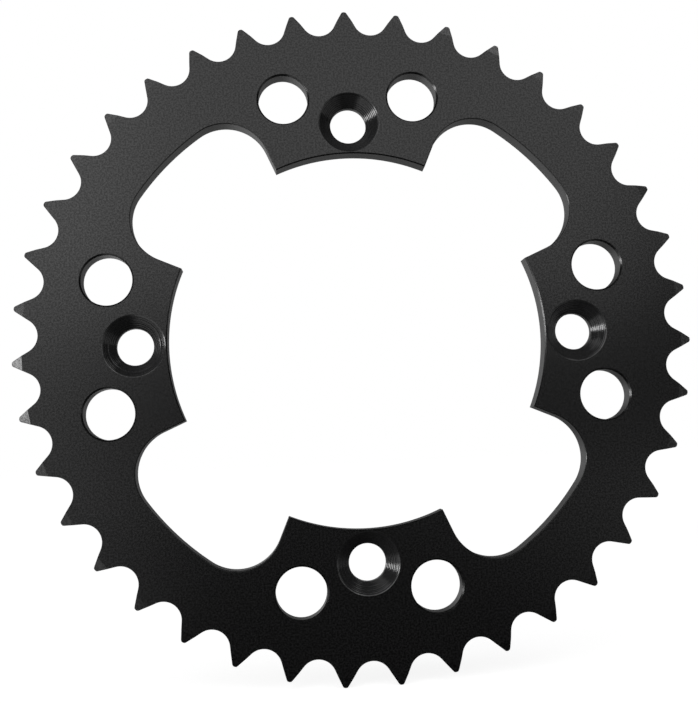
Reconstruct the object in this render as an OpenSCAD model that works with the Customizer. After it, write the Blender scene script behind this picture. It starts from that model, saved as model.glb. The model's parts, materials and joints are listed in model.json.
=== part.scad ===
/* [Chain and teeth] */
// Number of teeth
teeth = 39; // [37:1:52]
// Distance from one chain roller to the next
chain_pitch = 15.875; // [15.5:0.005:19.05]
// Diameter of the chain's rollers
roller_d = 10.16; // [9:0.02:11]
// Lean of a tooth flank away from the centre line of its gap, in degrees
flank_lean = 32.5; // [31.5:0.25:34]
// Height of the bevel that is turned on both sides of the teeth
tooth_bevel_h = 3.1; // [1:0.1:5]
// Slope of that bevel against the face, in degrees
tooth_bevel_angle = 15; // [10:1:35]

/* [Plate] */
// Thickness of the plate
plate_t = 5.8; // [5:0.1:8]
// Width of the rim between the tooth gaps and the windows
rim_w = 15.3; // [11:0.1:20]
// Size of the 45 degree edge break on turned and drilled edges
edge_break = 0.35; // [0.1:0.05:0.4]

/* [Hub fit] */
// Number of lugs, each with one bolt
lugs = 4; // [3:1:5]
// Width of a lug, as an angle seen from the middle
lug_angle = 47.2; // [44:0.2:52]
// Diameter of the circle through the bolts
bolt_circle_d = 132; // [124:0.5:138]
// Diameter of a bolt hole
bolt_hole_d = 11; // [8:0.1:12]
// Diameter of a countersink at the face
sink_d = 18.6; // [13:0.1:20]
// Full angle of the countersinks, in degrees
sink_angle = 90; // [82:1:120]
// Metal left at the face between a countersink and the hub boss that the lugs sit on
sink_land = 0.45; // [0.4:0.05:5]

/* [Windows and lightening holes] */
// Radius of the outer corners of a window
window_corner_r = 13.3; // [4:0.1:16]
// Diameter of a lightening hole
light_hole_d = 15; // [8:0.1:16]
// Angle between the two lightening holes of a lug
light_spread = 30; // [29:0.5:32]
// Metal left between a lightening hole and the tooth gaps
light_rim_w = 10; // [7:0.1:11]

/* [Hidden] */

// Cuts run past the surface that they open by this much
past = 1;
// Joined curves cross at this small angle, because curves that only touch leave slivers
cross = 2;
// Segments in a full turn, of the large circles and of the holes
fine = 360;
round_hole = 72;

// Teeth: the rollers lie on the pitch circle and sit in round seats
tooth_step = 360 / teeth;
pitch_r = chain_pitch / 2 / sin(tooth_step / 2);
root_r = pitch_r - roller_d / 2;
seat_r = 0.505 * roller_d + 0.069 * pow(roller_d, 1 / 3);
seat_y = root_r + seat_r;
tip_r = pitch_r + (chain_pitch * (1 - 1.6 / teeth) - roller_d) / 2;
tooth_bevel_depth = tooth_bevel_h * tan(tooth_bevel_angle);

// Hub fit
lug_step = 360 / lugs;
bolt_r = bolt_circle_d / 2;
pilot_r = bolt_r - sink_d / 2 - sink_land;
sink_depth = (sink_d - bolt_hole_d) / 2 / tan(sink_angle / 2);

// Windows: each lies between two lugs, with its outer corners rounded
window_r = root_r - rim_w;
window_half = (lug_step - lug_angle) / 2;
corner_sink = window_corner_r * cos(cross);
corner_at = window_r - corner_sink;
corner_turn = window_half - asin(corner_sink / corner_at);
corner_foot = corner_at * cos(window_half - corner_turn);

// Lightening holes
light_r = root_r - light_rim_w - light_hole_d / 2;

// A point at a radius and an angle from the X axis
function polar(r, angle) = r * [cos(angle), sin(angle)];

// The same point on the other side of the Y axis
function other_side(p) = [-p[0], p[1]];

// Repeats its children round the middle, with the first one turned by half a step if asked
module around(count, half = false) {
    for (i = [0 : count - 1])
        rotate((i + (half ? 0.5 : 0)) * 360 / count) children();
}

// The space between two teeth: a round seat for the roller and two straight flanks
module tooth_gap() {
    foot = [seat_r * cos(cross) * cos(flank_lean), seat_y - seat_r * cos(cross) * sin(flank_lean)];
    end_y = tip_r + past / 2;
    end = [foot[0] + (end_y - foot[1]) * tan(flank_lean), end_y];
    translate([0, seat_y]) circle(r = seat_r, $fn = round_hole);
    polygon([other_side(foot), other_side(end), end, foot]);
}

// One tooth is centred on the first lug
module toothed_outline() {
    difference() {
        circle(r = tip_r, $fn = fine);
        around(teeth, half = true) tooth_gap();
    }
}

// The turned disc that the teeth are cut in, with both sides bevelled towards the rim
module bevelled_disc() {
    bevel_r = tip_r - tooth_bevel_h;
    rotate_extrude($fn = fine)
        polygon([
            [0, 0],
            [bevel_r, 0],
            [tip_r, tooth_bevel_depth],
            [tip_r, plate_t - tooth_bevel_depth],
            [bevel_r, plate_t],
            [0, plate_t]
        ]);
}

// The opening between two lugs, centred on the X axis
module window_outline() {
    corner = polar(corner_at, corner_turn);
    foot = polar(corner_foot, window_half);
    far = polar(2 * window_r, corner_turn);
    intersection() {
        circle(r = window_r, $fn = fine);
        polygon([[0, 0], [far[0], -far[1]], far]);
    }
    polygon([[0, 0], [foot[0], -foot[1]], [corner[0], -corner[1]], corner, foot]);
    for (side = [-1, 1])
        translate([corner[0], side * corner[1]]) circle(r = window_corner_r, $fn = round_hole);
}

// A drilled hole through the plate, with both edges broken
module drilled_hole(r, segments) {
    translate([0, 0, -past]) cylinder(r = r, h = plate_t + 2 * past, $fn = segments);
    for (side = [0, 1])
        translate([0, 0, side * plate_t])
            mirror([0, 0, side])
                translate([0, 0, -past])
                    cylinder(r1 = r + edge_break + past, r2 = r, h = edge_break + past, $fn = segments);
}

// The countersink for the head of a bolt, on the outer face
module countersink() {
    spread = tan(sink_angle / 2);
    translate([0, 0, plate_t - sink_depth])
        cylinder(
            r1 = bolt_hole_d / 2,
            r2 = bolt_hole_d / 2 + (sink_depth + past) * spread,
            h = sink_depth + past,
            $fn = round_hole
        );
}

// The plate lies on the XY plane here, with its hub side down, and is then stood upright
module sprocket_plate() {
    color("dimgray") rotate([90, 0, 0]) difference() {
        intersection() {
            linear_extrude(plate_t) toothed_outline();
            bevelled_disc();
        }
        drilled_hole(pilot_r, fine);
        translate([0, 0, -past])
            linear_extrude(plate_t + 2 * past)
                around(lugs, half = true) rotate(90) window_outline();
        around(lugs) {
            translate([0, bolt_r]) {
                drilled_hole(bolt_hole_d / 2, round_hole);
                countersink();
            }
            for (side = [-1, 1])
                rotate(side * light_spread / 2)
                    translate([0, light_r]) drilled_hole(light_hole_d / 2, round_hole);
        }
    }
}

sprocket_plate();
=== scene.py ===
# %% [markdown]
# # A rear sprocket, standing on its teeth
#
# The part is one flat steel plate: a ring of chain teeth, four lugs that reach inwards to the hub,
# a countersunk bolt hole in each lug and a pair of lightening holes beside it. The packed model is
# loaded first. It fixes the size and the place of everything, and the plate that is modelled here
# takes its measurements from it.

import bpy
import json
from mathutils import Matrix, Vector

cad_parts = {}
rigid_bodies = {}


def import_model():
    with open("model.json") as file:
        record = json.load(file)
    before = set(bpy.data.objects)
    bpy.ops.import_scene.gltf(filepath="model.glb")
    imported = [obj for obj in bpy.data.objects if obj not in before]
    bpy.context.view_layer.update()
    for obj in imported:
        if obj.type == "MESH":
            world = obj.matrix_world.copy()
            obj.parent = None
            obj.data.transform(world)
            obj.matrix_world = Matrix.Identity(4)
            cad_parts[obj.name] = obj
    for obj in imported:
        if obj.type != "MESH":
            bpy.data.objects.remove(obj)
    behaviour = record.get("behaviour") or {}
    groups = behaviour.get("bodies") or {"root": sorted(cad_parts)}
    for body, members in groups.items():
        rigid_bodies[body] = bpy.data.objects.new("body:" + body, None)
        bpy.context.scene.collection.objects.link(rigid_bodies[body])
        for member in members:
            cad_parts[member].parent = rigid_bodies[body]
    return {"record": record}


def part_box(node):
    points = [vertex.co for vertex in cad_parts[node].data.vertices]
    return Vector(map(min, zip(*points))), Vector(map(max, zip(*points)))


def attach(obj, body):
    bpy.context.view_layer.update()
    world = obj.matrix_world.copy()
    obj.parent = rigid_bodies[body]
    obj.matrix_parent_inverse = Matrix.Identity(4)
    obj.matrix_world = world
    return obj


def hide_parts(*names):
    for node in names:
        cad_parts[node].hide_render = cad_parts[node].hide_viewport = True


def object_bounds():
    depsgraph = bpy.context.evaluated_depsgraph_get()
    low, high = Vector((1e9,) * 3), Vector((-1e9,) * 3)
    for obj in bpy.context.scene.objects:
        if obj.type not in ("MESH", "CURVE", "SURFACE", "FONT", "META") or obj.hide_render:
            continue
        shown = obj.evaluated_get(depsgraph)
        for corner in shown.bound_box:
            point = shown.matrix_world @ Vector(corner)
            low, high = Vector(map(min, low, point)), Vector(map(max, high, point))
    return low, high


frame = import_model()
cad_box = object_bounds()
print("the plate measures", [round((b - a) * 1000, 2) for a, b in zip(*cad_box)], "mm")

# %% [markdown]
# ## The sizes
#
# A sprocket follows from its chain. The rollers lie on the pitch circle, one for each tooth, and
# each sits in a round seat a little larger than itself. Only a few numbers are chosen here; the
# thickness, the tooth tips, the hub bore and the bolt circle are read from the frame.

# %% Sizes from the frame and from the chain
import math
import json
import random

import bpy
import bmesh
from mathutils import Matrix, Vector

mm = 0.001
mounts = {mount["name"]: mount["dims"] for mount in frame["record"]["mounts"]}
low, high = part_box("sprocket_plate")

plate_t = high.y - low.y
tip_r = high.z
pilot_r = mounts["pilot"]["r_mm"] * mm
bolt_r = mounts["bolts"]["pcd_mm"] / 2 * mm
bolt_hole_r = mounts["bolts"]["hole_r_mm"] * mm
lugs = mounts["bolts"]["count"]

teeth = 39
chain_pitch = 15.875 * mm
roller_r = 5.08 * mm
flank_lean = 32.5
tooth_step = 360 / teeth
pitch_r = chain_pitch / 2 / math.sin(math.radians(tooth_step / 2))
root_r = pitch_r - roller_r
seat_r = roller_r + 0.2 * mm
seat_y = root_r + seat_r
print("the rollers run on a circle of", round(2 * pitch_r / mm, 2), "mm")

# %% [markdown]
# The inner part is measured from the same circles. The windows stay a rim's width inside the tooth
# gaps, and the countersinks are cut at 45 degrees, so they are as deep as they are wider than the
# bolt hole. Edges are never perfectly sharp on a real part, so each kind gets a small break.

# %% Sizes of the lugs, windows and holes
rim_w = 15.3 * mm
light_rim_w = 10 * mm
lug_angle = 47.2
lug_step = 360 / lugs
window_r = root_r - rim_w
corner_r = 13.3 * mm
light_hole_r = 7.5 * mm
light_r = root_r - light_rim_w - light_hole_r
light_half = 15
sink_r = 9.3 * mm
sink_depth = sink_r - bolt_hole_r
join_r = root_r - 1.5 * mm
bevel_r = tip_r - 3.1 * mm
tooth_bevel_angle = 15
edge_break = 0.35 * mm
hole_break = 0.5 * mm
tooth_break = 0.12 * mm
print("the windows are cut on a circle of", round(2 * window_r / mm, 2), "mm")

# %% [markdown]
# ## Selecting by place
#
# By hand one clicks on a vertex, an edge or a face. A script has to say which one it means, and it
# does so by where the element lies or which way it looks. pick() asks that of every element of the
# object in edit mode, and selects those for which the answer is yes.

# %% Helpers for selecting
def nothing_selected():
    if bpy.context.object and bpy.context.object.mode == "EDIT":
        bpy.ops.mesh.select_all(action="DESELECT")
    else:
        bpy.ops.object.select_all(action="DESELECT")


def new_object(name):
    nothing_selected()
    made = bpy.data.objects.new(name, bpy.data.meshes.new(name))
    bpy.context.collection.objects.link(made)
    bpy.context.view_layer.objects.active = made
    made.select_set(True)
    bpy.ops.object.mode_set(mode="EDIT")
    return made


def pick(kind, wanted):
    """Selects the vertices, edges or faces for which wanted(element) is true, and counts them."""
    mesh = bmesh.from_edit_mesh(bpy.context.object.data)
    bpy.ops.mesh.select_all(action="DESELECT")
    mesh.select_mode = {{"verts": "VERT", "edges": "EDGE", "faces": "FACE"}[kind]}
    found = 0
    for element in getattr(mesh, kind):
        if wanted(element):
            element.select = True
            found += 1
    mesh.select_flush_mode()
    bmesh.update_edit_mesh(bpy.context.object.data)
    return found


def near(value, wanted):
    return abs(value - wanted) < 0.005 * mm


print("two lengths count as the same when they differ by less than 0.005 mm:", near(mm, 1.004 * mm))

# %% [markdown]
# ## A pen that draws with the modelling tools
#
# The outline of the plate is made of straight lines and arcs. By hand one would extrude a vertex
# for a line and spin it for an arc, so the pen below does just that. Angles are given as on a
# clock: from the lug at the top, clockwise. A spin turns clockwise too.

# %% A pen
def clock(radius, degrees):
    turn = math.radians(degrees)
    return Vector((radius * math.sin(turn), radius * math.cos(turn), 0))


class Pen:
    """Draws a closed outline at one height and fills it."""

    def __init__(self, start, height):
        bpy.ops.mesh.select_all(action="DESELECT")
        bpy.context.tool_settings.mesh_select_mode = (True, False, False)
        self.height = height
        self.start = self.tip = start
        mesh = bmesh.from_edit_mesh(bpy.context.object.data)
        mesh.verts.new((start.x, start.y, height)).select = True
        bmesh.update_edit_mesh(bpy.context.object.data)

    def line_to(self, point):
        step = point - self.tip
        bpy.ops.mesh.extrude_vertices_move(TRANSFORM_OT_translate={"value": (step.x, step.y, 0)})
        self.tip = point
        return self

    def arc(self, centre, degrees, steps):
        middle = (centre.x, centre.y, self.height)
        bpy.ops.mesh.spin(steps=steps, angle=math.radians(degrees), center=middle, axis=(0, 0, 1))
        turn = math.radians(-degrees)
        arm = self.tip - centre
        self.tip = centre + Vector((
            arm.x * math.cos(turn) - arm.y * math.sin(turn),
            arm.x * math.sin(turn) + arm.y * math.cos(turn),
            0,
        ))
        return self

    def fill(self):
        bpy.ops.mesh.select_linked()
        bpy.ops.mesh.remove_doubles(threshold=0.001 * mm)
        bpy.ops.mesh.edge_face_add()


centre = Vector((0, 0, 0))
one_o_clock = clock(pitch_r, 30)
print("one o'clock on the pitch circle is at", [round(v / mm, 1) for v in one_o_clock], "mm")

# %% [markdown]
# ## The teeth
#
# On the real wheel the blank is turned first, with a bevel on both sides, and the gaps are milled
# into it. Cutting a solid disc with booleans would copy that, but it leaves untidy faces. Here one
# tooth is drawn with half a gap on each side, given its thickness and its bevels, and then copied
# round the wheel, so that all its faces are clean.

# %% [markdown]
# ### Halves and copies
#
# A tooth is the same on both sides, and so is a lug. Only one half is modelled; then it is copied to
# the other side with a negative scale, and the whole is copied round the axis with a spin that makes
# duplicates. Vertices that meet are merged each time.

# %% Helpers for halves and copies
def mirror_half():
    """Copies the half that has been modelled to the other side of the top lug's centre line."""
    bpy.ops.mesh.select_all(action="SELECT")
    bpy.ops.mesh.duplicate()
    bpy.ops.transform.resize(value=(-1, 1, 1), center_override=(0, 0, 0))
    tidy_up()


def copy_round(count):
    """Copies what has been modelled round the axis of the wheel, until there are this many."""
    bpy.ops.mesh.select_all(action="SELECT")
    turn = math.radians(360 - 360 / count)
    bpy.ops.mesh.spin(steps=count - 1, angle=turn, dupli=True, center=(0, 0, 0), axis=(0, 0, 1))
    tidy_up()


def tidy_up():
    bpy.ops.mesh.select_all(action="SELECT")
    bpy.ops.mesh.remove_doubles(threshold=0.001 * mm)
    bpy.ops.mesh.normals_make_consistent(inside=False)


print("one tooth and one lug will be modelled, and copied", teeth, "and", lugs, "times")

# %% [markdown]
# ### Telling faces and edges apart
#
# Only the edges along the top and the bottom of the upright walls get a break, so they have to be
# told from all the others. The slope of a face says what it is: 0 degrees on the two large faces, 90
# degrees on a wall, and the angle of the lathe's tool on a tooth bevel.

# %% Helpers for slopes and edges
flat_to = 2
wall_from = 72


def slope(across):
    """Degrees between a face and the flat of the plate, from its normal's part across the plate."""
    return math.degrees(math.acos(min(1, abs(across))))


def is_wall(across):
    return slope(across) > wall_from


def is_tooth_bevel(across):
    """Whether a face slopes as the tooth bevels do, give or take a third."""
    return abs(slope(across) - tooth_bevel_angle) < tooth_bevel_angle / 3


def is_outline_edge(edge):
    """Edges between an upright wall and a large face or a tooth bevel."""
    walls = [is_wall(face.normal.z) for face in edge.link_faces]
    return len(walls) == 2 and walls[0] != walls[1]


def is_bevel_line(edge):
    """Edges between a large face and a tooth bevel."""
    parts = sorted(abs(face.normal.z) for face in edge.link_faces)
    return len(parts) == 2 and is_tooth_bevel(parts[0]) and slope(parts[1]) < flat_to


print("the tooth bevels slope by", tooth_bevel_angle, "degrees, and walls by", wall_from, "or more")

# %% [markdown]
# ### Half a tooth, seen from the front
#
# The outline starts at the bottom of a gap. It follows the round seat of the roller, climbs the
# straight flank, and closes over the middle of the tooth and back along the rim. The top of the tooth
# is a piece of its own between two arcs, because it will be bevelled. One arc lies where the bevel
# starts. The other one is the rounded tip, which touches both flanks and the circle of the tips.
# Bridging the two arcs fills the top with regular faces.

# %% Draw half a tooth, with half a gap beside it
tooth_steps = 8
seat_steps = 12
tip_steps = 5


def half_tooth(radius):
    """Half the width of a tooth at this radius, as an angle."""
    lean = math.radians(flank_lean)
    along = Vector((math.sin(lean), math.cos(lean)))
    foot = Vector((seat_r * math.cos(lean), seat_y - seat_r * math.sin(lean)))
    reach = math.sqrt(foot.dot(along) ** 2 - foot.length_squared + radius ** 2) - foot.dot(along)
    point = foot + reach * along
    return tooth_step / 2 - math.degrees(math.atan2(point.x, point.y))


rim = new_object("toothed_rim")
gap = -tooth_step / 2
pen = Pen(clock(root_r, gap), plate_t)
pen.arc(clock(seat_y, gap), flank_lean - 90, seat_steps)
pen.line_to(clock(bevel_r, -half_tooth(bevel_r))).arc(centre, half_tooth(bevel_r), tip_steps)
pen.line_to(clock(join_r, 0)).arc(centre, gap, tooth_steps // 2)
pen.line_to(pen.start).fill()

tip_lean = math.radians(flank_lean - tooth_step / 2)
tip_width = tip_r * math.sin(math.radians(half_tooth(tip_r)))
tip_round = tip_width * math.cos(tip_lean) / (1 - math.sin(tip_lean))
tip_middle = clock(tip_r - tip_round, 0)
tip_turn = 90 - math.degrees(tip_lean)
Pen(clock(bevel_r, -half_tooth(bevel_r)), plate_t).arc(centre, half_tooth(bevel_r), tip_steps)
Pen(tip_middle + clock(tip_round, -tip_turn), plate_t).arc(tip_middle, tip_turn, tip_steps)
print("the tip is rounded to", round(tip_round / mm, 2), "mm")
print("bridging", pick("edges", lambda edge: not edge.link_faces), "edges into the top of the tooth")
bpy.ops.mesh.bridge_edge_loops()
tidy_up()

# %% [markdown]
# ### The thickness and the bevels
#
# The outline is extruded to a solid. The bevels are made as a lathe makes them: the further out a
# point of the tooth lies, the deeper it is pushed into the plate. The line where a bevel starts is
# kept crisp. All other edges get a tiny break, which catches the light as on a real tooth.

# %% Give the tooth its thickness and its bevels
def between_teeth(face):
    """Walls where the half meets its mirror image, the next tooth or the lugs."""
    if not is_wall(face.normal.z):
        return False
    angles = [math.degrees(math.atan2(v.co.x, v.co.y)) for v in face.verts]
    inner = all(abs(v.co.xy.length - join_r) < 0.01 * mm for v in face.verts)
    return inner or any(all(abs(a - side) < 0.01 for a in angles) for side in (gap, 0))


bpy.ops.mesh.select_all(action="SELECT")
bpy.ops.mesh.extrude_region_move(TRANSFORM_OT_translate={"value": (0, 0, -plate_t)})
print("removing", pick("faces", between_teeth), "walls at the joins")
bpy.ops.mesh.delete(type="FACE")
mesh = bmesh.from_edit_mesh(rim.data)
radii = {round(v.co.xy.length, 6) for v in mesh.verts if v.co.xy.length > bevel_r + 0.01 * mm}
deeper = math.tan(math.radians(tooth_bevel_angle))
for radius in sorted(radii):
    for height, way in ((0, 1), (plate_t, -1)):
        pick("verts", lambda v: near(v.co.xy.length, radius) and near(v.co.z, height))
        bpy.ops.transform.translate(value=(0, 0, way * (radius - bevel_r) * deeper))
tidy_up()
print("breaking", pick("edges", is_outline_edge), "edges of the half tooth")
bpy.ops.mesh.bevel(offset=tooth_break, segments=1, affect="EDGES")
print("keeping", pick("edges", is_bevel_line), "edges crisp where the bevels start")
bpy.ops.mesh.mark_sharp()

# %% [markdown]
# ### The whole ring of teeth
#
# The half tooth is mirrored, and the tooth is copied round the wheel.

# %% Copy the tooth round the wheel
mirror_half()
copy_round(teeth)
bpy.ops.object.mode_set(mode="OBJECT")
print("the toothed rim has", len(rim.data.polygons), "faces")

# %% [markdown]
# ## The lugs and the windows
#
# The inner part repeats at every lug, and each lug is the same on both sides of its centre line.
# So one eighth of it is drawn. It is drawn as two outlines that meet in a line through the
# lightening hole, because a face with many corners can't have a hole in it.

# %% Draw half a lug with half a window
def steps_for(degrees, per_turn):
    return max(1, round(abs(degrees) / 360 * per_turn))


ring_steps = tooth_steps * teeth
hole_steps = 96
lug_half = lug_angle / 2
corner_out = window_r - corner_r
corner_turn = lug_half + math.degrees(math.asin(corner_r / corner_out))
corner_foot = corner_out * math.cos(math.radians(corner_turn - lug_half))
half_turn = 180
light_hole = clock(light_r, light_half)
bolt = clock(bolt_r, 0)
light_far, light_near = (clock(light_r + side * light_hole_r, light_half) for side in (1, -1))

lug = new_object("lugs")
pen = Pen(clock(pilot_r, 0), plate_t)
pen.arc(centre, light_half, steps_for(light_half, ring_steps)).line_to(light_near)
pen.arc(light_hole, half_turn, hole_steps // 2).line_to(clock(join_r, light_half))
pen.arc(centre, -light_half, steps_for(light_half, ring_steps)).line_to(clock(bolt_r + sink_r, 0))
pen.arc(bolt, half_turn, hole_steps // 2).line_to(pen.start).fill()

rest = lug_step / 2 - light_half
pen = Pen(clock(pilot_r, light_half), plate_t)
pen.arc(centre, lug_half - light_half, steps_for(lug_half - light_half, ring_steps))
pen.line_to(clock(corner_foot, lug_half))
corner_sweep = 90 + corner_turn - lug_half
pen.arc(clock(corner_out, corner_turn), corner_sweep, steps_for(corner_sweep, hole_steps))
pen.arc(centre, lug_step / 2 - corner_turn, steps_for(lug_step / 2 - corner_turn, ring_steps))
pen.line_to(clock(join_r, lug_step / 2)).arc(centre, -rest, steps_for(rest, ring_steps))
pen.line_to(light_far).arc(light_hole, half_turn, hole_steps // 2)
pen.line_to(pen.start).fill()
tidy_up()
print("half a lug with half a window has", len(bmesh.from_edit_mesh(lug.data).verts), "corners")

# %% [markdown]
# ### The thickness of the lug
#
# The half lug is extruded as the tooth was. The walls where it meets its neighbours are removed, and
# so is the one in the bolt hole, because the countersink is turned later as a piece of its own. At
# the back that opening is narrowed to the mouth of the bore.

# %% Give the lug its thickness
def between_lugs(face):
    """Walls where the eighth meets its neighbours, the rim or the countersink."""
    if not is_wall(face.normal.z):
        return False
    points = [v.co for v in face.verts]
    window_middle = clock(1, lug_step / 2 + 90)
    return (
        all(near(p.xy.length, join_r) for p in points)
        or all(near(p.x, 0) for p in points)
        or all(near(p.dot(window_middle), 0) for p in points)
        or all(near((p - bolt).xy.length, sink_r) for p in points)
    )


bpy.ops.mesh.select_all(action="SELECT")
bpy.ops.mesh.extrude_region_move(TRANSFORM_OT_translate={"value": (0, 0, -plate_t)})
print("removing", pick("faces", between_lugs), "walls at the joins and in the bolt hole")
bpy.ops.mesh.delete(type="FACE")
tidy_up()
bore_mouth = bolt_hole_r + edge_break
pick("verts", lambda v: near(v.co.z, 0) and near((v.co - bolt).xy.length, sink_r))
narrower = bore_mouth / sink_r
bpy.ops.transform.resize(value=(narrower, narrower, 1), center_override=bolt)
print("the bolt hole is", round(2 * bore_mouth / mm, 1), "mm wide at the back")

# %% [markdown]
# ### The edges of the lug
#
# Three kinds of edge are told apart by their place. The lightening holes are countersunk a little,
# the hub bore has a narrow chamfer from the lathe, and the edges of the windows are only deburred. A
# bevel of one segment makes the first two, and three segments make the last one round.

# %% Break the edges of the lug
def is_drilled_edge(edge):
    return all(near((v.co.xy - light_hole.xy).length, light_hole_r) for v in edge.verts)


def is_bored_edge(edge):
    return all(near(v.co.xy.length, pilot_r) for v in edge.verts)


def is_window_edge(edge):
    around = 1 * mm
    in_hole = all((v.co.xy - light_hole.xy).length < light_hole_r + around for v in edge.verts)
    in_bore = all(v.co.xy.length < pilot_r + around for v in edge.verts)
    return is_outline_edge(edge) and not in_hole and not in_bore


found = pick("edges", lambda edge: is_outline_edge(edge) and is_drilled_edge(edge))
bpy.ops.mesh.bevel(offset=hole_break, segments=1, affect="EDGES")
print("edges of the lightening hole:", found)
found = pick("edges", lambda edge: is_outline_edge(edge) and is_bored_edge(edge))
bpy.ops.mesh.bevel(offset=edge_break, segments=1, affect="EDGES")
print("edges of the bore:", found)
found = pick("edges", is_window_edge)
bpy.ops.mesh.bevel(offset=edge_break, segments=3, affect="EDGES")
print("edges of the window:", found)

# %% [markdown]
# ### All the lugs
#
# The half lug is mirrored and copied in the same way as the tooth.

# %% Copy the lug round the wheel
mirror_half()
copy_round(lugs)
bpy.ops.object.mode_set(mode="OBJECT")
print("the lugs have", len(lug.data.polygons), "faces")

# %% [markdown]
# ## The countersunk bolt holes
#
# A countersink is cut by a turning tool that chatters a little, so the cone is not smooth: it is a
# set of fine rings, and they catch the light one by one. The cone is made as a lathe would make it,
# ring by ring: a circle at the mouth is extruded and narrowed, over and over, down to the bore. Two
# short steps make the lip at the mouth. Then every ring gets its own width and depth by chance, in
# five steps, and each hole starts from a seed of its own, so that it comes out the same every time.

# %% The steps down a countersink
def turned_cone(seed):
    """Radius and depth of each step down the cone, with shallow rings left by the tool."""
    chance = random.Random(seed)
    lip_width, lip_depth = 0.3 * mm, 0.2 * mm
    per_length = math.sqrt(0.5)
    yield sink_r - 0.15 * lip_width, 0.05 * lip_depth
    yield sink_r - lip_width, lip_depth
    length = sink_depth / per_length
    along = lip_width / per_length
    while along < length - 0.3 * mm:
        pitch = chance.uniform(0.45, 0.75) * mm
        groove = chance.uniform(0.03, 0.06) * mm
        for share in (0.2, 0.4, 0.6, 0.8, 1):
            way = along + pitch * share
            if way < length - 0.05 * mm:
                cut = groove * math.sin(math.pi * share) ** 2
                yield sink_r - (way - cut) * per_length, (way + cut) * per_length
        along += pitch
    yield bolt_hole_r, sink_depth


print("the first countersink goes down in", len(list(turned_cone(seed=0))), "steps")

# %% [markdown]
# ### Turning the four holes
#
# Each hole is turned at the top lug and then carried round to its own. The last two steps are the
# straight bore and the small chamfer at the back.

# %% Turn the bolt holes, ring by ring
def turned_hole(seed):
    """Turns one whole bolt hole, from the mouth of its countersink to the back of the plate."""
    bpy.ops.mesh.select_all(action="DESELECT")
    bpy.context.tool_settings.mesh_select_mode = (True, False, False)
    place = (bolt.x, bolt.y, plate_t)
    bpy.ops.mesh.primitive_circle_add(vertices=hole_steps, radius=sink_r, location=place)
    radius, depth = sink_r, 0
    steps = list(turned_cone(seed))
    steps += [(bolt_hole_r, plate_t - edge_break), (bolt_hole_r + edge_break, plate_t)]
    for next_radius, next_depth in steps:
        drop = depth - next_depth
        bpy.ops.mesh.extrude_edges_move(TRANSFORM_OT_translate={"value": (0, 0, drop)})
        factor = next_radius / radius
        bpy.ops.transform.resize(value=(factor, factor, 1), center_override=bolt)
        radius, depth = next_radius, next_depth
    return len(steps)


holes = new_object("bolt_holes")
for number in range(lugs):
    rings = turned_hole(seed=number)
    bpy.ops.mesh.select_linked()
    bpy.ops.transform.rotate(
        value=math.radians(number * lug_step), orient_axis="Z", center_override=(0, 0, 0)
    )
    print("bolt hole", number + 1, "has", rings, "rings")
bpy.ops.object.mode_set(mode="OBJECT")

# %% [markdown]
# ### One plate
#
# The three pieces meet vertex by vertex, so they are joined and merged into one closed mesh. If no
# edge is left open, the plate is as solid as the real one.

# %% Join the rim, the lugs and the bolt holes into one plate
nothing_selected()
for part in (rim, lug, holes):
    part.select_set(True)
bpy.context.view_layer.objects.active = rim
bpy.ops.object.join()
plate = rim
plate.name = plate.data.name = "sprocket"
bpy.ops.object.mode_set(mode="EDIT")
tidy_up()
print("open edges left:", pick("edges", lambda edge: len(edge.link_faces) != 2))
bpy.ops.object.mode_set(mode="OBJECT")

# %% [markdown]
# ## Standing it up, and smooth shading
#
# The plate was drawn lying down. It is turned upright about the X axis, and the turn is applied, so
# that its place is in its mesh. Shading is smooth wherever faces meet at a small angle, and weighted
# normals keep the two large faces perfectly flat.

# %% Stand the plate up
nothing_selected()
plate.select_set(True)
plate.rotation_euler = (math.radians(90), 0, 0)
bpy.ops.object.transform_apply(location=True, rotation=True, scale=True)
bpy.ops.object.shade_smooth_by_angle(angle=math.radians(26))
bpy.ops.object.modifier_add(type="WEIGHTED_NORMAL")
plate.modifiers[-1].keep_sharp = True
bpy.ops.object.modifier_apply(modifier=plate.modifiers[-1].name)
corners = [Vector(corner) for corner in plate.bound_box]
print("standing from", [round(min(c[i] for c in corners) / mm, 2) for i in range(3)],
      "to", [round(max(c[i] for c in corners) / mm, 2) for i in range(3)], "mm")

# %% [markdown]
# ### Which tool made which surface
#
# The finish differs with the tool: the cones of the bolt holes and the tooth bevels were turned, and
# the walls of the openings were milled. Each kind is painted on the faces as a number that the
# material reads.

# %% Mark the turned and the milled surfaces
def mark(name, wanted):
    """Paints 1 on the faces that are wanted and 0 on the others, for the finish to read."""
    layer = plate.data.attributes.new(name, "FLOAT", "FACE")
    values = [1.0 if wanted(face) else 0.0 for face in plate.data.polygons]
    layer.data.foreach_set("value", values)
    print(name, "faces:", round(sum(values)))


def is_sunk(face):
    from_bolt = min((face.center.xz - place).length for place in bolt_places)
    return from_bolt < sink_r and flat_to < slope(face.normal.y) < wall_from


def is_bevelled(face):
    return face.center.xz.length > bevel_r and is_tooth_bevel(face.normal.y)


bolt_places = [clock(bolt_r, k * lug_step).xy for k in range(lugs)]
mark("sunk", is_sunk)
mark("bevelled", is_bevelled)
mark("milled", lambda face: is_wall(face.normal.y))

# %% [markdown]
# ### The place in the frame
#
# The plate doesn't move by itself, so it rides on the root body, and it stands for the one solid of
# the packed model.

# %% Tell the frame what the plate stands for
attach(plate, "root")
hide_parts("sprocket_plate")
print("one piece stands for the packed plate")

# %% [markdown]
# ## A small language for shaders
#
# A finish is a sum of masks and patterns, and it reads best as arithmetic. The class below wraps a
# socket of a shader node, so that `0.4 + 0.1 * grain` adds the Math nodes by itself.

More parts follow.
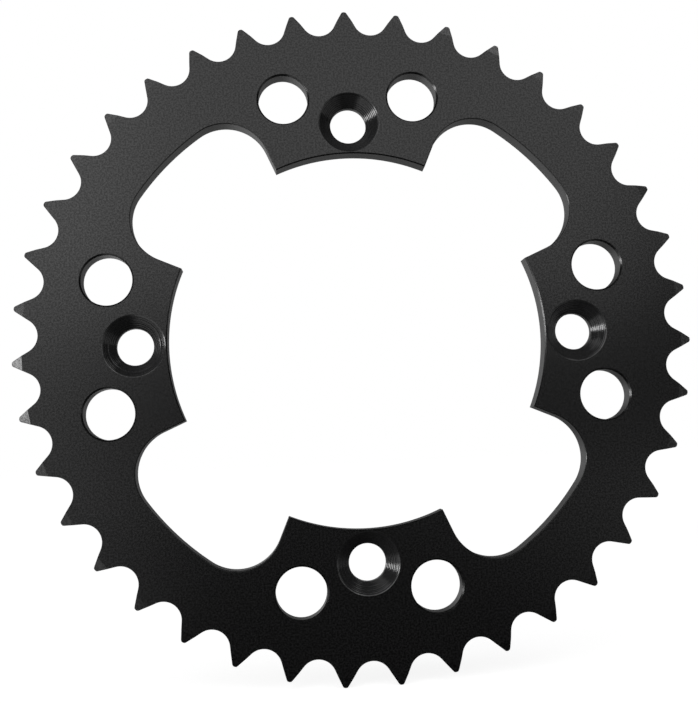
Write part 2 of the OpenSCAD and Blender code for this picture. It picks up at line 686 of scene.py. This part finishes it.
# %% Sockets as numbers
class Value:
    def __init__(self, finish, socket):
        self.finish = finish
        self.socket = socket

    def math(self, operation, other=0.0, flipped=False):
        first, second = (other, self) if flipped else (self, other)
        return self.finish.node("Math", {"operation": operation}, {0: first, 1: second})

    def __add__(self, other):
        return self.math("ADD", other)

    def __radd__(self, other):
        return self.math("ADD", other, True)

    def __sub__(self, other):
        return self.math("SUBTRACT", other)

    def __rsub__(self, other):
        return self.math("SUBTRACT", other, True)

    def __mul__(self, other):
        return self.math("MULTIPLY", other)

    def __rmul__(self, other):
        return self.math("MULTIPLY", other, True)

    def __pow__(self, other):
        return self.math("POWER", other)

    def __rpow__(self, other):
        return self.math("POWER", other, True)


print("a socket knows:", ", ".join(name.strip("_") for name in vars(Value) if name.startswith("__r")))

# %% [markdown]
# ### A tree of nodes
#
# A material and a world both hold a tree of nodes. The class below clears one and fills it. Its one
# method takes the type of a node, its settings, and what goes into its sockets, which is either a
# number or the output of another node.

# %% Nodes by name
class Finish:
    """A node tree that is built by naming nodes and giving them values or other nodes' outputs."""

    def __init__(self, owner):
        owner.use_nodes = True
        self.tree = owner.node_tree
        self.tree.nodes.clear()

    def node(self, kind, settings=None, inputs=None, output=0):
        """Adds a node, and gives back one of its outputs, by number or by name."""
        made = self.tree.nodes.new("ShaderNode" + kind)
        for name, value in (settings or {}).items():
            setattr(made, name, value)
        for name, value in (inputs or {}).items():
            if isinstance(value, Value):
                self.tree.links.new(value.socket, made.inputs[name])
            else:
                made.inputs[name].default_value = value
        if made.outputs:
            return Value(self, made.outputs[output])


print("a finish can be built for a material or a world")

# %% [markdown]
# ## Black oxide on steel
#
# Black oxide is a thin matte skin that has the grain of the steel under it. It is almost black, and
# it shines only a little, so most of what is seen is a soft grey sheen on the side of the light. The
# grain shows as fine specks that are blacker and shine less. A share of a nearly black metal makes
# them, because a metal mirrors only in its own colour. Milled walls are rougher. The cones of the
# countersinks are smoother and a little paler, and the tooth bevels carry rings from the lathe that
# are too fine to model.

# %% The finish of the plate
def black_oxide():
    material = bpy.data.materials.new("black_oxide_steel")
    paint = Finish(material)
    place = paint.node("TexCoord", output="Object")
    x, z = (paint.node("SeparateXYZ", None, {0: place}, axis) for axis in "XZ")
    radius = (x * x + z * z) ** 0.5

    def noise(scale, detail=2.0):
        return paint.node("TexNoise", None, {"Vector": place, "Scale": scale, "Detail": detail})

    def between(value, start, end):
        return paint.node("MapRange", {"interpolation_type": "SMOOTHSTEP"},
                          {"Value": value, "From Min": start, "From Max": end})

    def mix(mask, first, second):
        return paint.node("Mix", {"data_type": "RGBA"}, {0: mask, 6: first, 7: second}, 2)

    def marked(name):
        return paint.node("Attribute", {"attribute_name": name}, output="Fac")

    sunk, bevelled, milled = marked("sunk"), marked("bevelled"), marked("milled")
    grain = between(noise(1900), 0.36, 0.64)
    clouds = noise(60, 3.0)
    rings = paint.node("TexNoise", {"noise_dimensions": "1D"}, {"W": radius, "Scale": 3000})
    skin = (0.007, 0.007, 0.0072, 1)
    speck = (0.0008, 0.0008, 0.0008, 1)
    paler_skin = (0.013, 0.013, 0.0133, 1)
    colour = mix(grain * 0.8 + clouds * 0.2, skin, speck)
    colour = mix(sunk, colour, paler_skin)
    dull = 0.35 * grain * (1 - milled)
    roughness = 0.2 + 0.03 * clouds + 0.03 * grain + 0.25 * milled - 0.08 * sunk
    height = grain * 0.002 + rings * bevelled * 0.004
    normal = paint.node("Bump", None, {"Height": height, "Distance": mm, "Strength": 1.0})
    surface = paint.node("BsdfPrincipled", None, {
        "Base Color": colour,
        "Metallic": dull,
        "Roughness": roughness,
        "Specular IOR Level": 0.5,
        "Normal": normal,
    })
    paint.node("OutputMaterial", None, {"Surface": surface})
    return material


plate.data.materials.clear()
plate.data.materials.append(black_oxide())
print("the plate has its finish")

# %% [markdown]
# ## The floor and the surroundings
#
# The floor and the world behind it are white to the camera by their own colour, and not by more
# light, so the plate isn't washed out. Satin steel mirrors its surroundings softly, so they show in
# reflections too. A studio is never equally bright all round, though: here it is brighter on the
# left than on the right, and dim straight in front of the plate.

# %% Helpers for the surroundings
def is_ray(paint, kind):
    """1 for a ray of this kind, and 0 for all the others."""
    return paint.node("LightPath", output="Is " + kind + " Ray")


def is_mirrored(paint):
    return is_ray(paint, "Glossy") + is_ray(paint, "Transmission")


def axes(paint, place):
    return [paint.node("SeparateXYZ", None, {0: place}, axis) for axis in "XYZ"]


def ramp(paint, value, start, end, low=0.0, high=1.0):
    """Rises smoothly from low to high while the value goes from start to end."""
    return paint.node("MapRange", {"interpolation_type": "SMOOTHSTEP"}, {
        "Value": value, "From Min": start, "From Max": end, "To Min": low, "To Max": high,
    })


def glow(paint, strength):
    return paint.node("Emission", None, {"Color": (1, 1, 1, 1), "Strength": strength})


print("the surroundings can be mixed")

# %% [markdown]
# ### The floor
#
# Near the plate the floor is partly lit by the lamps, so that it keeps the soft shadow. Further away
# it is lit less and glows more, and runs into the background without a line. In reflections it is
# bright behind the plate and on both sides, also close by, and dark in front.

# %% A pale finish that keeps the shadow
def pale_floor():
    material = bpy.data.materials.new("pale_floor")
    paint = Finish(material)
    place = paint.node("TexCoord", output="Object")
    x, y = axes(paint, place)[:2]
    camera_ray = is_ray(paint, "Camera")
    behind = ramp(paint, y, 0, 0.3, 0, 0.48)
    beside = ramp(paint, x, -0.3, -0.1, 1, 0) + ramp(paint, x, 0.1, 0.3, 0, 0.5)
    close = ramp(paint, x, -0.12, -0.06, 1, 0) + ramp(paint, x, 0.06, 0.16, 0, 0.35)
    close = close * ramp(paint, y, -0.35, -0.1)
    bright = behind.math("MAXIMUM", beside).math("MAXIMUM", close)
    seen = camera_ray + is_mirrored(paint) * bright
    from_middle = paint.node("VectorMath", {"operation": "LENGTH"}, {0: place}, "Value")
    far = ramp(paint, from_middle, 0.25, 0.9)
    tone = 0.08 + 0.22 * camera_ray * (1 - far)
    tone = paint.node("CombineColor", None, {0: tone, 1: tone, 2: tone})
    lit = paint.node("BsdfDiffuse", None, {"Color": tone})
    own = glow(paint, seen * (0.84 + 0.16 * far))
    pale = paint.node("AddShader", None, {0: lit, 1: own})
    paint.node("OutputMaterial", None, {"Surface": pale})
    return material


nothing_selected()
bpy.ops.mesh.primitive_plane_add(size=12, location=(0, 0, cad_box[0].z))
floor = bpy.context.object
floor.name = "floor"
bpy.ops.object.transform_apply(location=True, rotation=True, scale=True)
floor.data.materials.append(pale_floor())
print("the floor lies at", round(cad_box[0].z / mm, 2), "mm")

# %% [markdown]
# ### The world
#
# The camera sees the world as plain white. Reflections see it bright behind the plate on the left,
# dimmer on the right and overhead, and almost dark in front, where the lamps do the work.

# %% The world
def studio():
    world = bpy.data.worlds.new("studio")
    paint = Finish(world)
    x, y, z = axes(paint, paint.node("TexCoord", output="Generated"))
    behind = ramp(paint, y, 0, 0.3)
    behind = behind * ramp(paint, x, -0.3, 0.1, 1, 0.35) * ramp(paint, z, 0.2, 0.5, 1, 0.2)
    mirrored = is_mirrored(paint) * (0.03 + 0.97 * behind)
    strength = is_ray(paint, "Camera") + mirrored + 0.3 * is_ray(paint, "Diffuse")
    sky = paint.node("Background", None, {"Color": (1, 1, 1, 1), "Strength": strength})
    paint.node("OutputWorld", None, {"Surface": sky})
    return world


bpy.context.scene.world = studio()
print("the world is white to the camera")

# %% [markdown]
# ## The lamps
#
# Large soft boxes draw broad, even reflections on steel. The largest one stands in front and above,
# and gives the face its grey sheen that fades downwards. A second one makes the upper left brighter.
# A small strong one low on the left lights the bevels and rings that are tilted towards it. Two weak
# ones on the right, one low and one high, keep that side from going black.

# %% Five lamps
def soft_box(name, left, up, distance, width, height, power):
    """A lamp that faces the middle of the wheel; left and up are angles from the front."""
    light = bpy.data.lights.new(name, "AREA")
    light.shape = "RECTANGLE"
    light.size = width
    light.size_y = height
    light.energy = power
    lamp = bpy.data.objects.new(name, light)
    bpy.context.collection.objects.link(lamp)
    side, rise = math.radians(left), math.radians(up)
    lamp.location = Vector((
        -distance * math.sin(side) * math.cos(rise),
        -distance * math.cos(side) * math.cos(rise),
        distance * math.sin(rise),
    ))
    lamp.rotation_euler = (-lamp.location).to_track_quat("-Z", "Y").to_euler()
    lamp.visible_camera = False
    return lamp


# Name, degrees to the left and up, distance, width, height, power
lamps = [
    soft_box("key_lamp", 10, 36, 1.0, 1.5, 1.05, 6.5),
    soft_box("left_lamp", 32, 22, 1.0, 0.65, 0.85, 1.55),
    soft_box("side_lamp", 61, 1.5, 0.9, 0.5, 0.2, 4.2),
    soft_box("right_lamp", -47, 12, 1.0, 0.3, 0.4, 0.6),
    soft_box("high_lamp", -42, 42, 1.0, 0.5, 0.5, 1.0),
]
print("lamps:", ", ".join(lamp.name for lamp in lamps))

# %% [markdown]
# ## The camera
#
# The camera stands close to the plate, a little to the left of its middle and below it, and looks
# slightly up and to the right.

# %% The camera
camera = bpy.data.objects.new("camera", bpy.data.cameras.new("camera"))
bpy.context.collection.objects.link(camera)
camera.location = (-23.14 * mm, -294.52 * mm, -33.91 * mm)
turn, tilt, roll = (math.radians(angle) for angle in (-3.988, 90 + 5.864, -2.523))
aim = Matrix.Rotation(turn, 3, "Z") @ Matrix.Rotation(tilt, 3, "X") @ Matrix.Rotation(roll, 3, "Z")
camera.rotation_euler = aim.to_euler()
camera.data.lens = 50.25
camera.data.clip_start = 0.01
bpy.context.scene.camera = camera
bpy.context.scene.view_settings.view_transform = "Standard"
print("the camera is", round(camera.location.length, 3), "m from the middle of the wheel")

# %% [markdown]
# ## Sizes, before and after
#
# The dressed plate is meant to fill the same box as the packed model.
